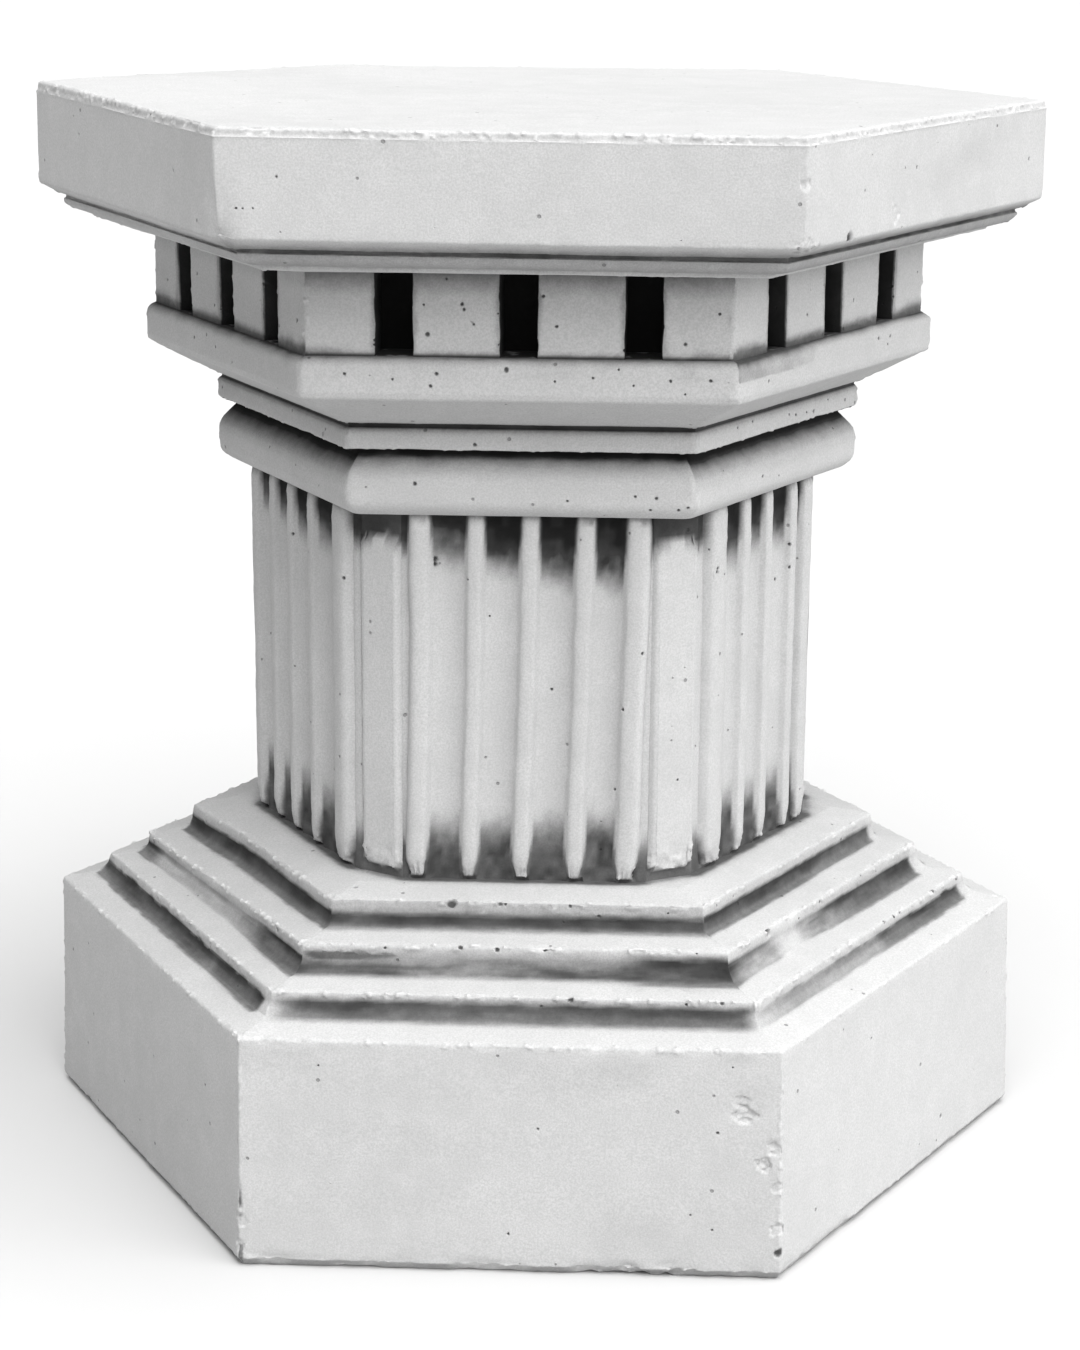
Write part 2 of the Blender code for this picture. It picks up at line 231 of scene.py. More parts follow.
def noise(p, size, seed=0):
    """Smooth noise from -1 to 1 at points p, with lumps of the given size."""
    q = p / size
    cell = np.floor(q).astype(np.int64)
    f = q - cell
    w = f * f * f * (f * (f * 6 - 15) + 10)
    total = np.zeros(p.shape[:-1])
    for corner in range(8):
        d = np.array([corner & 1, corner >> 1 & 1, corner >> 2])
        weight = np.prod(np.where(d == 1, w, 1 - w), axis=-1)
        c = cell + d
        total += weight * lattice(c[..., 0], c[..., 1], c[..., 2], seed)
    return total * 2 - 1


def layered(p, size, seed=0, layers=3):
    """Noise with finer layers added, about -1 to 1."""
    total = np.zeros(p.shape[:-1])
    scale = 1.0
    for k in range(layers):
        total += scale * noise(p, size / 2 ** k, seed + 17 * k)
        scale *= 0.5
    return total / (2 - 2 ** (1 - layers))


def smooth(x, low, high):
    """An eased step from 0 at low to 1 at high, which may be the lower of the two."""
    t = np.clip((x - low) / (high - low), 0, 1)
    return t * t * (3 - 2 * t)


def bell(x, width):
    """1 at zero, falling to about a third at the width on both sides."""
    return np.exp(-(x / width) ** 2)


def graded(length, fine, coarse, ratio=1.3):
    """Fractions of a line from 0 to 1, close together near both ends."""
    steps = []
    step = fine
    total = 0.0
    while total + step < length / 2:
        steps.append(step)
        total += step
        step = min(step * ratio, coarse)
    if not steps:
        return np.array([0.0, 1.0])
    half = np.concatenate([[0], np.cumsum(steps)])
    half = half / length
    gap = 1 - 2 * half[-1]
    if gap * length < 0.35 * steps[-1]:
        half = half[:-1]
    return np.concatenate([half, 1 - half[::-1]])


def round_off(pts, i, radius):
    """Where a rounded corner starts and ends, and its centre and turn, or the bare corner."""
    a = pts[i - 1] - pts[i]
    b = pts[i + 1] - pts[i]
    la, lb = np.linalg.norm(a), np.linalg.norm(b)
    a, b = a / la, b / lb
    turn = math.pi - math.acos(np.clip(np.dot(a, b), -1, 1))
    if turn < 0.03:
        return pts[i], pts[i], None
    reach = min(radius * math.tan(turn / 2), 0.48 * la, 0.48 * lb)
    r = reach / math.tan(turn / 2)
    centre = pts[i] + (a + b) / np.linalg.norm(a + b) * r / math.cos(turn / 2)
    return pts[i] + a * reach, pts[i] + b * reach, (centre, turn)


def rounded_profile(corners, fine, coarse):
    """Rows of (half width, height, edge) along a profile whose corners are (half, z, radius)."""
    pts = [np.array(c[:2], float) for c in corners]
    last = len(corners) - 1
    rows = []
    cuts = []
    for i, corner in enumerate(corners):
        if i in (0, last) or corner[2] <= 0:
            cuts.append((pts[i], pts[i], None))
        else:
            cuts.append(round_off(pts, i, corner[2]))
    for i in range(len(corners)):
        enter, leave, curve = cuts[i]
        if curve is None:
            rows.append(enter)
        else:
            centre, turn = curve
            pieces = max(2, int(math.ceil(turn / 0.32)))
            u = enter - centre
            v = leave - centre
            for k in range(pieces + 1):
                f = k / pieces
                w = u * math.sin((1 - f) * turn) + v * math.sin(f * turn)
                rows.append(centre + w / math.sin(turn))
        if i < last:
            start, end = leave, cuts[i + 1][0]
            length = np.linalg.norm(end - start)
            if length > 1e-6:
                for f in graded(length, fine, coarse if length < 0.12 else 0.012, 1.4)[1:-1]:
                    rows.append(start + (end - start) * f)
    rows = np.array(rows)
    keep = [0]
    for i in range(1, len(rows)):
        if np.linalg.norm(rows[i] - rows[keep[-1]]) > 2e-5:
            keep.append(i)
    rows = rows[keep]

    edge = np.zeros(len(rows))
    for i in range(1, last):
        a = pts[i] - pts[i - 1]
        b = pts[i + 1] - pts[i]
        turn = math.atan2(a[0] * b[1] - a[1] * b[0], float(np.dot(a, b)))
        if turn > 0:
            near = bell(np.linalg.norm(rows - pts[i], axis=1), 0.0021)
            edge = np.maximum(edge, near * min(turn / 1.4, 1))
    return rows[:, 0], rows[:, 1], edge


def hexagon_columns(breaks, fine, coarse, arc_pieces=5, ratio=1.3):
    """Columns round a hexagon: point on a unit inner hexagon, normal, and place from -1 to 1 on the face."""
    along = []
    for lo, hi in zip(breaks, breaks[1:]):
        f = graded(hi - lo, fine, coarse, ratio)
        along += list(lo + (hi - lo) * f[:-1])
    along.append(breaks[-1])
    along = np.array(along) / breaks[-1]
    inner, normal, t = [], [], []
    for k in range(SIDES):
        a = FRONT + k * math.pi / 3
        n = np.array([math.cos(a), math.sin(a)])
        s = np.array([-math.sin(a), math.cos(a)])
        for u in along:
            inner.append(n + s * u * TAN30)
            normal.append(n)
            t.append(u)
        corner = n + s * TAN30
        for j in range(1, arc_pieces):
            phi = a + math.pi / 3 * j / arc_pieces
            inner.append(corner)
            normal.append(np.array([math.cos(phi), math.sin(phi)]))
            t.append(1.0 if j <= arc_pieces / 2 else -1.0)
    return np.array(inner), np.array(normal), np.array(t)


def mitred(profile, columns, corner_round):
    """Grid of points of a hexagonal body, and how near each is to an upright corner."""
    half, z = profile[:2]
    inner, normal, t = columns
    r = np.minimum(np.full(len(half), corner_round), half * 0.4)
    xy = (half - r)[:, None, None] * inner[None] + r[:, None, None] * normal[None]
    p = np.concatenate([xy, np.broadcast_to(z[:, None, None], xy.shape[:2] + (1,))], -1)
    gap = (1 - np.abs(t))[None] * (half * TAN30)[:, None]
    return p, bell(gap, 0.0022) * 0.8


def hexagonal(corners, coarse, half, columns, corner_round):
    """Half widths, heights and edges of a profile, then the grid that it makes with plain faces."""
    profile = rounded_profile(corners, FINE_STEP, coarse)
    side = half * TAN30
    return (*profile, *mitred(profile, hexagon_columns([-side, side], *columns), corner_round))


def arc(half, z, out, up, start, end, pieces):
    """Corners of a profile along part of an ellipse, from one angle to another in degrees."""
    angles = [math.radians(start + (end - start) * j / pieces) for j in range(pieces + 1)]
    return [(half + out * math.cos(t), z + up * math.sin(t), 0) for t in angles]


def hex_coordinates(p):
    """The nearest face's number, the distance along it and the distance out from the axis."""
    angles = FRONT + np.arange(SIDES) * math.pi / 3
    outs = p[..., 0, None] * np.cos(angles) + p[..., 1, None] * np.sin(angles)
    face = outs.argmax(-1)
    a = angles[face]
    return face, -p[..., 0] * np.sin(a) + p[..., 1] * np.cos(a), outs.max(-1)


def turned(angle, along, out):
    """x and y of a point along and out on the face whose normal points at an angle."""
    return out * math.cos(angle) - along * math.sin(angle), out * math.sin(angle) + along * math.cos(angle)


def on_face(face, along, out, z):
    """The point at a place on a face."""
    return np.array([*turned(FRONT + face * math.pi / 3, along, out), z])


def add_object(name, data):
    """A new object in the scene."""
    made = bpy.data.objects.new(name, data)
    bpy.context.scene.collection.objects.link(made)
    return made


def fetch(data, key, width):
    """A value of each item of mesh data, as an array with a row for each item."""
    values = np.empty(len(data) * width, np.float32)
    data.foreach_get(key, values)
    return values.reshape(-1, width).astype(float)


def get_points(mesh):
    return fetch(mesh.vertices, "co", 3)


def get_normals(mesh):
    return fetch(mesh.vertex_normals, "vector", 3)


def get_layer(mesh, name):
    return fetch(mesh.attributes[name].data, "value", 1)[:, 0]


def set_layer(mesh, name, values):
    if name not in mesh.attributes:
        mesh.attributes.new(name, 'FLOAT', 'POINT')
    mesh.attributes[name].data.foreach_set("value", np.ascontiguousarray(values, dtype=np.float32).ravel())


def grid_mesh(name, p, edge, wash_and_shade):
    """A closed mesh from rows of points, with both ends capped."""
    rows, cols = p.shape[:2]
    index = np.arange(rows * cols).reshape(rows, cols)
    a = index[:-1]
    b = index[1:]
    quads = np.stack([a, np.roll(a, -1, 1), np.roll(b, -1, 1), b], -1).reshape(-1, 4)
    faces = quads.tolist()
    faces.append(index[0][::-1].tolist())
    faces.append(index[-1].tolist())
    mesh = bpy.data.meshes.new(name)
    mesh.from_pydata(p.reshape(-1, 3).tolist(), [], faces)
    set_layer(mesh, "edge", edge)
    set_layer(mesh, "wash_and_shade", wash_and_shade)
    return mesh


def snap(mesh, spots):
    """Centres of the spots, moved onto the surface, with the surface's normal, radius and depth of each."""
    points = get_points(mesh)
    normals = get_normals(mesh)
    placed = []
    for face, along, out, z, radius, depth in spots:
        centre = on_face(face, along / 1000, out / 1000, z / 1000)
        nearest = np.argmin(((points - centre) ** 2).sum(1))
        n = normals[nearest]
        centre = centre - n * np.dot(centre - points[nearest], n)
        placed.append((centre, n, radius / 1000, depth / 1000))
    return placed


def refine(mesh, spots, marks):
    """Splits long mesh edges along worn edges, round air holes and across the limits of the wash and painted
    shade.
    """
    for level in range(4):
        ends = np.empty(len(mesh.edges) * 2, np.int32)
        mesh.edges.foreach_get("vertices", ends)
        ends = ends.reshape(-1, 2)
        points = get_points(mesh)
        edge = get_layer(mesh, "edge")
        a, b = points[ends[:, 0]], points[ends[:, 1]]
        length = np.linalg.norm(a - b, axis=1)
        middle = (a + b) / 2
        worn = np.minimum(edge[ends[:, 0]], edge[ends[:, 1]]) > 0.35
        limit = np.where(worn, EDGE_STEP, 1.0)
        if level < 2:
            wash = marks(points, *hex_coordinates(points))[0]
            change = np.abs(wash[ends[:, 0]] - wash[ends[:, 1]])
            limit = np.where(change > 0.22, np.minimum(limit, WASH_AND_SHADE_STEP), limit)
        for centre, _, radius, _ in spots:
            away = np.linalg.norm(middle - centre, axis=1)
            wanted = np.minimum(limit, min(0.5 * radius, HOLE_STEP))
            limit = np.where(away < 1.2 * radius + 0.6 * length, wanted, limit)
        chosen = np.nonzero(length > limit)[0].tolist()
        if not chosen:
            break
        bm = bmesh.new()
        bm.from_mesh(mesh)
        bm.edges.ensure_lookup_table()
        bmesh.ops.subdivide_edges(bm, edges=[bm.edges[i] for i in chosen], cuts=1, use_grid_fill=True)
        bm.to_mesh(mesh)
        bm.free()


def weather(p, edge, seed):
    """How far wear moves each point out of the casting, and how worn it is."""
    wave = 0.0002 * layered(p, 0.045, seed) + 0.00006 * layered(p, 0.006, seed + 5)
    crumb = layered(p, 0.0038, seed + 9)
    bite = smooth(layered(p, 0.017, seed + 13, 2), 0.15, 0.75)
    thin = 0.00022 + 0.00045 * np.clip(crumb + 0.15, 0, 1)
    cut = edge * (thin + 0.0011 * bite * np.clip(crumb + 0.5, 0, 1))
    flakes = edge * 0.001 * smooth(layered(p, 0.0022, seed + 21, 2), 0.22, 0.5)
    return wave - cut + flakes, np.clip((cut + flakes) * 1000, 0, 1.5)


def askew(p):
    """The casting's corners are a little off true, mostly the left one, in the plinth, steps and slab."""
    x, z = p[:, 0], p[:, 2]
    angle = np.arctan2(p[:, 1], x)
    reach = np.hypot(x, p[:, 1]) / CORNER_OUT
    left = np.maximum(-np.cos(angle), 0) ** 3 * reach
    right = np.maximum(np.cos(angle), 0) ** 3 * reach
    front_left = np.maximum(np.cos(angle + 2 * math.pi / 3), 0) ** 6 * reach
    front_right = np.maximum(np.cos(angle + math.pi / 3), 0) ** 4 * reach
    moved = p.copy()
    # the plinth and the steps, but not the shaft
    base = smooth(reach, 0.58, 0.68)
    heights = [0.05, Z_PLINTH, 0.101, 0.1105, 0.1132, 0.1246, 0.127, 0.1376, 0.145]
    left_out = [0, 0.0006, 0.0006, -0.0006, 0.003, 0.005, 0.0042, 0.0036, 0]
    left_up = [0, 0.0021, 0.0021, 0.0014, 0.0, -0.0036, -0.003, -0.0029, 0]
    right_up = [0, 0.0014, 0.0012, 0, 0, 0, 0, 0, 0]
    moved[:, 0] -= base * left * np.interp(z, heights, left_out)
    moved[:, 2] += base * left * np.interp(z, heights, left_up)
    moved[:, 2] += base * right * np.interp(z, heights, right_up)
    # the slab
    heights = [0.397, 0.4, Z_SLAB, Z_RIM, Z_TOP]
    moved[:, 0] -= 0.0028 * front_left * smooth(z, 0.402, 0.411)
    moved[:, 2] += left * np.interp(z, heights, [0, 0.0012, 0.0017, 0.0028, 0.004])
    moved[:, 2] -= 0.001 * front_right * smooth(z, 0.397, 0.4)
    return moved


def make_piece(name, grid, edge, spots, seed, marks, wash_and_shade=None):
    """Turns a grid into a worn, pitted piece with its dark wash and painted shade.

    marks(p, face, along, out) gives the wash and painted shade, relief and wear of points.
    """
    mesh = grid_mesh(name, grid, edge, np.zeros(edge.shape) if wash_and_shade is None else wash_and_shade)
    spots = snap(mesh, spots)
    refine(mesh, spots, marks)
    p = get_points(mesh)
    n = get_normals(mesh)
    edge = get_layer(mesh, "edge")
    wash_and_shade = get_layer(mesh, "wash_and_shade")
    more_wash_and_shade, relief, more_wear = marks(p, *hex_coordinates(p))
    wash_and_shade = np.maximum(wash_and_shade, more_wash_and_shade)
    move, wear = weather(p, edge, seed)
    wear = np.maximum(wear, more_wear)
    q = p + n * (move + relief)[:, None]
    for centre, direction, radius, depth in spots:
        away = np.linalg.norm(p - centre, axis=1)
        near = np.nonzero(away < 1.9 * radius)[0]
        if depth > 0.5 * radius:
            shape = away[near] / radius * (1 + 0.25 * noise(p[near], radius * 0.9, seed + 31))
            q[near] -= direction * (depth * np.sqrt(np.clip(1 - shape ** 2, 0, 1)))[:, None]
            wash_and_shade[near] = np.maximum(wash_and_shade[near], 0.9 * smooth(shape, 1.05, 0.55))
        else:
            shape = away[near] / radius * (1 + 0.55 * layered(p[near], radius * 0.8, seed + 31, 2))
            broken = 0.35 + 0.9 * np.abs(layered(p[near], 0.0026, seed + 33, 2))
            cut = smooth(shape, 1.05, 0.8) * broken
            q[near] -= direction * (depth * cut)[:, None]
            wear[near] = np.maximum(wear[near], 0.8 * smooth(shape, 1.15, 0.95) * (broken > 0.55))
    q[:, 2] = np.maximum(q[:, 2], 0)
    q = askew(q)
    mesh.vertices.foreach_set("co", q.ravel())
    # this layer holds the dark wash together with painted shade under overhangs, in creases and in the
    # deepest recesses
    set_layer(mesh, "wash_and_shade", np.clip(wash_and_shade, 0, 1.3))
    set_layer(mesh, "wear", wear)
    mesh.attributes.remove(mesh.attributes["edge"])
    mesh.polygons.foreach_set("use_smooth", [True] * len(mesh.polygons))
    mesh.set_sharp_from_angle(angle=math.radians(50))
    mesh.update()
    return add_object(name, mesh)


def scatter(seed, count, places):
    """Small air holes strewn over bands of a piece, each band being (half width, low z, high z)."""
    rng = np.random.default_rng(seed)
    spots = []
    for _ in range(count):
        half, low, high = places[rng.integers(len(places))]
        face = int(rng.integers(SIDES))
        along = rng.uniform(-0.95, 0.95) * half * TAN30
        radius = rng.uniform(0.45, 0.75) + 0.35 * rng.random() ** 4
        spots.append((face, along * 1000, half * 1000, rng.uniform(low, high) * 1000, radius, radius * 0.9))
    return spots


def spots_between(low, high, seed, count, places):
    """The holes and chips that the casting shows between two heights, in millimetres, and strewn ones."""
    return [s for s in HOLES + CHIPS if low <= s[3] < high] + scatter(seed, count, places)


def band_strength(step, face, t):
    """How strong the wash at a riser's foot is along each face."""
    strength = np.zeros(t.shape)
    for k in range(SIDES):
        knots = BANDS.get((step, k), EVEN_BAND)
        here = face == k
        strength[here] = np.interp(t[here], [a for a, b in knots], [b for a, b in knots])
    return strength


def riser_wash(knots, high, rise):
    """Strength of the wash at a height above a riser's foot."""
    places = [a * rise if a > 0 else a / 1000 for a, b in knots]
    return np.interp(high, places, [b for a, b in knots])


def base_marks(p, face, along, out):
    """Wash on the risers, wash with painted contact shadow round the shaft's foot, and the broken foot,
    painted shade on the bottom chamfer and faint marks of the plinth.
    """
    z = p[:, 2]
    front = face == 0
    outer = out > OUTER_WALL
    wash_and_shade = np.zeros(len(p))
    drawn = np.stack([0.22 * along + 0.7 * face, out, z], -1)
    ragged = 0.0005 * layered(p, 0.009, 501) + 0.0008 * layered(drawn, 0.0016, 502)
    patchy = smooth(layered(drawn, 0.0035, 503), -0.5, 0.6)
    for step, (half_foot, z_foot, _, z_nose) in enumerate(STEPS):
        up = (z - z_foot) - (out - half_foot) * smooth(out, half_foot - 0.002, half_foot)
        rise = z_nose - z_foot
        t = along / (half_foot * TAN30)
        strength = band_strength(step, face, t)
        retreat = np.where(up < 0.3 * rise, 0.0045 * (1 - np.minimum(strength, 1)), 0)
        high = up + ragged
        dark_end = smooth(t, 0.42, 0.68) * (step == 1)
        plain = riser_wash(RISER_WASH[step], high, rise)
        plain = plain + (riser_wash(DARK_END, high, rise) - plain) * dark_end
        u = (t + 0.79) / 0.21
        v = (high / rise - 0.6) / 0.26
        torn = 0.55 * layered(drawn, 0.005, 506)
        patch = (step == 1) * smooth(1 - np.sqrt(u * u + v * v) + torn, 0.0, 0.25)
        plain = np.maximum(plain, 0.92 * patch)
        level = np.where(front, plain, riser_wash(SIDE_WASH, high - retreat, rise))
        level = level * (out > half_foot - 0.0065) * (z < z_nose)
        loose = 1 - (0.75 if step == 1 else 0.35) * patchy * np.maximum(1.12 - strength, 0.08)
        wash_and_shade = np.maximum(wash_and_shade, level * smooth(strength, 0.0, 0.85) * loose)
    # round the shaft's foot: the wash with painted contact shadow on the tread beside it
    corner_out = out * COS30 + np.abs(along) * 0.5
    beyond = np.maximum(out - CREST, corner_out - PANEL_OUT)
    loose = 0.0011 * layered(p, 0.006, 504)
    foot = 0.62 * smooth(beyond + loose, 0.0016, -0.0012) + 0.24 * smooth(beyond + loose, 0.0046, 0.0002)
    corner = smooth(np.abs(along), 0.05, 0.056)
    wash_and_shade = np.maximum(wash_and_shade, (1 - 0.35 * corner) * np.minimum(foot, 0.95) * (z > 0.137))
    # dark crack down the front-left edge of the plinth
    crack = smooth(np.abs(along) * front * (along < 0), 0.1068, 0.1078) * smooth(z, 0.038, 0.03)
    wash_and_shade = np.maximum(wash_and_shade, 0.8 * crack * smooth(layered(p, 0.004, 505), -0.4, 0.2))
    # broken lower edge of the plinth
    low = smooth(z, 0.0075, 0.0035) * outer
    gone = smooth(layered(p, 0.016, 507), 0.1, 0.45)
    relief = -0.0006 * low * gone - 0.0005 * low * gone * layered(p, 0.003, 508, 2)
    wear = 0.8 * low * gone * (layered(p, 0.003, 509, 2) > 0.1)
    # painted shade on the downward-facing chamfer at the plinth's foot, where it is not broken
    wash_and_shade = np.maximum(wash_and_shade, 0.34 * smooth(z, Z_CHAMFER, 0.003) * outer * (1 - gone))
    wear = np.maximum(wear, 0.45 * bell(z - 0.0044, 0.0005) * outer)
    # broken stretch under the front, right of the middle
    spot = smooth(np.abs(along - 0.053), 0.026, 0.018) * front * smooth(z, 0.0085, 0.005) * outer
    crumbs = layered(p, 0.0032, 511)
    relief = relief - 0.0012 * spot * smooth(crumbs, -0.3, 0.3)
    wear = np.maximum(wear, 0.9 * spot * smooth(crumbs, 0.05, 0.25))
    # faint clouds and a paler line on the front face
    wall = outer * (z > 0.006) * (z < 0.0965) * front
    cloud = smooth(layered(np.stack([along * 0.35 + face, out, z], -1), 0.008, 512), -0.1, 0.6)
    wash_and_shade = np.maximum(wash_and_shade, 0.085 * wall * cloud * smooth(z, 0.07, 0.086))
    corner_cloud = np.exp(-((along - 0.048) / 0.016) ** 2 - ((z - 0.019) / 0.01) ** 2)
    wash_and_shade = np.maximum(wash_and_shade, 0.07 * wall * corner_cloud)
    line = bell(z - 0.064 + 0.02 * along, 0.0005) * smooth(np.abs(along + 0.02), 0.06, 0.04)
    wear = np.maximum(wear, 0.16 * wall * line)
    return wash_and_shade, relief, wear


def make_plinth():
    meets_steps = STEPS[0][:2]
    corners = [
        (0.02, 0.0, 0), (FOOT_HALF, 0.0, 0.0012), (CHAMFER_HALF, Z_CHAMFER, 0.0008),
        (PLINTH_HALF, Z_PLINTH, 0.0014), (*meets_steps, 0.001), (0.15, 0.1014, 0), (0.02, 0.1014, 0),
    ]
    half, z, edge, grid, upright = hexagonal(corners, 0.0045, PLINTH_HALF, (FINE_STEP, 0.003), 0.0014)
    edge = np.maximum(edge[:, None] * 0.8, upright * 0.5) * ((half > 0.175) & (z > 0.0005))[:, None]
    spots = spots_between(0, 98, 11, 40, [(0.1875, 0.004, 0.095)])
    return make_piece("pedestal_plinth", grid, edge, spots, 100, base_marks)


def make_steps():
    corners = [(0.08, 0.096, 0), (0.1736, 0.096, 0), (0.174, 0.0992, 0)]
    fillets = (0.0008, 0.0022, 0.0022)
    for fillet, (half_foot, z_foot, half_nose, z_nose) in zip(fillets, STEPS):
        corners.append((half_foot, z_foot, fillet))
        corners.append((half_nose + 0.0005, z_foot + 0.0042, 0.004))
        corners.append((half_nose, z_nose, 0.0012))
    corners += [(0.116, 0.1404, 0.001), (0.08, 0.1404, 0)]
    half, z, edge, grid, upright = hexagonal(corners, 0.003, 0.16, (FINE_STEP, 0.0028), 0.0014)
    shown = (half > 0.125) & (z > STEPS[0][1])
    edge = np.clip(edge[:, None] + upright * 0.4, 0, 1) * shown[:, None]
    places = [(0.15, 0.12, 0.124), (0.169, 0.106, 0.11), (0.132, 0.132, 0.137)]
    return make_piece("pedestal_steps", grid, edge, spots_between(98, 141, 16, 40, places), 110, base_marks)


def corner_point(side, across, out):
    """Along and out on a face, of a point across and out at the corner on that side of the face."""
    sign = 1 if side else -1
    return sign * (out * 0.5 - across * COS30), out * COS30 + across * 0.5


def rib_shape(number, b, centre, width, z):
    """Along, out and edge of one line of points up a rib."""
    top = smooth(z, Z_TORUS - 0.006, Z_TORUS + 0.0005)
    ragged = 0.0026 * noise(np.stack([0 * z + number * 3.1, 0 * z + b * 0.4, z], -1), 0.006, 650)
    foot = smooth(z + ragged, Z_SHAFT + 0.0125, Z_SHAFT + 0.0005)
    gap = smooth(z, Z_SHAFT + 0.002, Z_SHAFT + 0.0008)
    outer = (number == 0 and b < 0) or (number == 4 and b > 0)
    u = abs(b)
    if outer:
        drop = (CREST - GROOVE_FLOOR) * (1 - math.sqrt(max(0.0, 1 - u ** 2.8)))
    else:
        drop = RIB_SHOULDER * (1 - math.sqrt(max(0.0, 1 - u ** 3.2))) + 0.0003 * u * u
    narrow = 1 - 0.13 * top ** 2 - 0.42 * foot ** 1.4
    out = CREST - drop - (0.0007 * top ** 2 + 0.002 * foot ** 2) * (1 - 0.5 * u)
    target = GROOVE_FLOOR if outer else CREST - FLUTE_DEPTH
    out = out + (target - out) * gap
    sway = 0.0009 * foot * noise(np.stack([0 * z + number * 5.3, 0 * z, z], -1), 0.0045, 651)
    return centre + sway + b * width / 2 * narrow, out, 0.35 * (u > 0.5) + 0.9 * foot * (gap < 0.3)


def rib_lines(k, z):
    """Centre line and width of each rib of a face."""
    height = np.stack([z * 0, z * 0, z], -1)
    lean = np.interp(z, [0.14, 0.2165, 0.29], [-0.0018, 0.0, 0.0022])
    ribs = []
    for j, (centre, width) in enumerate(RIBS.get(k, EVEN_RIBS)):
        seed = 10 * k + j
        wobble = 0.0003 * noise(height, 0.035, 600 + seed) + 0.00016 * noise(height, 0.009, 700 + seed)
        shift = np.where(z > 0.2165, lean * FRONT_LEAN[j], lean) * (k == 0)
        ribs.append((centre / 1000 + wobble + shift, width / 1000))
    return ribs


class ShaftFace:
    """One face of the shaft, with the halves of the corner panels at its sides, 0 on the left and 1.

    Its lines give along, out, edge and the wash and painted shade of the points up one line. A rib or a
    flute is given by its number, and by the line's place from -1 to 1 across it. A panel, a panel's edge or
    a groove is given by the line's place from 0 to 1 and by the side.
    """

    def __init__(self, k, z):
        self.k = k
        self.z = z
        self.ribs = rib_lines(k, z)
        self.wash = FLUTE_WASH.get(k, EVEN_WASH)
        self.slides = (PANEL_SLIDE.get((k - 1) % SIDES, 0), -PANEL_SLIDE.get(k, 0))
        self.sunk = (PANEL_SUNK.get((k - 1) % SIDES, 0), PANEL_SUNK.get(k, 0))
        self.panel_halves = (PANEL_HALF - (PANEL_TRIM if k == 0 else 0), PANEL_HALF)

    def rib(self, number, b, fray, spot):
        z = self.z
        along, out, edge = rib_shape(number, b, *self.ribs[number], z)
        limit = self.wash[max(number - 1, 0) if b < 0 else min(number, 3)]
        flanks = np.maximum(smooth(z + fray, limit, limit + 0.012), smooth(z + fray, 0.159, 0.15))
        dark = smooth(abs(b), 0.78, 1.0) * 0.75 * flanks
        return along, out, edge, np.maximum(dark, 0.5 * smooth(z + fray, Z_TORUS - 0.003, Z_TORUS))

    def flute(self, number, b, fray, spot):
        z = self.z
        left = rib_shape(number, 1.0, *self.ribs[number], z)[0]
        right = rib_shape(number + 1, -1.0, *self.ribs[number + 1], z)[0]
        along = (left + right) / 2 + b * (right - left) / 2
        out = CREST - FLUTE_DROP - (FLUTE_DEPTH - FLUTE_DROP) * (1 - b * b) ** 0.85 + 0 * z
        # the wash reaches lower on the right side of each flute, which faces away from the light: that part
        # is painted shade
        limit = self.wash[number] + 0.0008 * b * b - 0.0013 * b
        low = FOOT_WASH[self.k % 2][number] + 0.0016 * b * b
        fade = 1 - 0.12 * (self.k == 0 and number == 0)
        dark = np.maximum(fade * smooth(z + fray, limit - 0.012, limit + 0.005) ** 1.2,
                          0.94 * smooth(z + fray, low + 0.0105, low - 0.008) ** 1.1)
        # darker still toward the torus above, going past 1 to near black: the strongest wash with painted
        # shade under the torus
        deep = smooth(z, limit + 0.004, limit + 0.013)
        return along, out, 0.0, dark * (1 + 0.3 * deep) * (0.94 + 0.1 * noise(spot, 0.004, 360))

    def groove(self, place, side, fray, spot):
        z = self.z
        across = self.panel_halves[side] + 0.0008 + self.slides[side]
        edge_along, edge_out = corner_point(side, across, CORE_OUT + 0.0006)
        last = 4 * side
        start = rib_shape(last, 1.0 if side else -1.0, *self.ribs[last], z)[0]
        f = 1 - place
        along = start + (edge_along - start) * f
        out = GROOVE_FLOOR + (edge_out - GROOVE_FLOOR) * f ** 2 + 0 * z
        return along, out, 0.0, np.maximum(smooth(z + fray, 0.274, 0.285),
                                           0.84 * smooth(z + fray, 0.165, 0.15))

    def panel(self, place, side, fray, spot):
        return self.panel_line(self.panel_halves[side] * place * 0.93, side, 1.0, 0.0, fray)

    def panel_edge(self, place, side, fray, spot):
        across = self.panel_halves[side] - PANEL_EDGE * 0.5 * (1 - 2 * place)
        return self.panel_line(across, side, math.sqrt(max(0.0, 1 - place ** 2.4)), 0.4, fray)

    def panel_line(self, across, side, lift, worn, fray):
        z = self.z
        end = Z_PANEL_TOP - 0.0024 * (across / PANEL_HALF) ** 3 + 0.5 * fray
        start = Z_PANEL_FOOT + 0.0016 * (across / PANEL_HALF) ** 4 + 0.4 * fray
        shown = smooth(z, end + 0.0022, end - 0.0016) * smooth(z, start - 0.0012, start + 0.0008)
        out_here = CORE_OUT + (PANEL_OUT - self.sunk[side] - CORE_OUT) * lift * shown
        along, out = corner_point(side, across + self.slides[side], out_here)
        edge = worn * shown + 0.9 * shown * smooth(z, start + 0.012, start + 0.004)
        dark = np.maximum(0.94 * smooth(z, end - 0.001, end + 0.002),
                          0.8 * smooth(z, start + 0.0002, start - 0.001))
        veil = 0.55 * smooth(z + fray, end - 0.006, end + 0.001) * (across > 0.3 * PANEL_HALF)
        return along, out, edge, np.maximum(dark, veil)


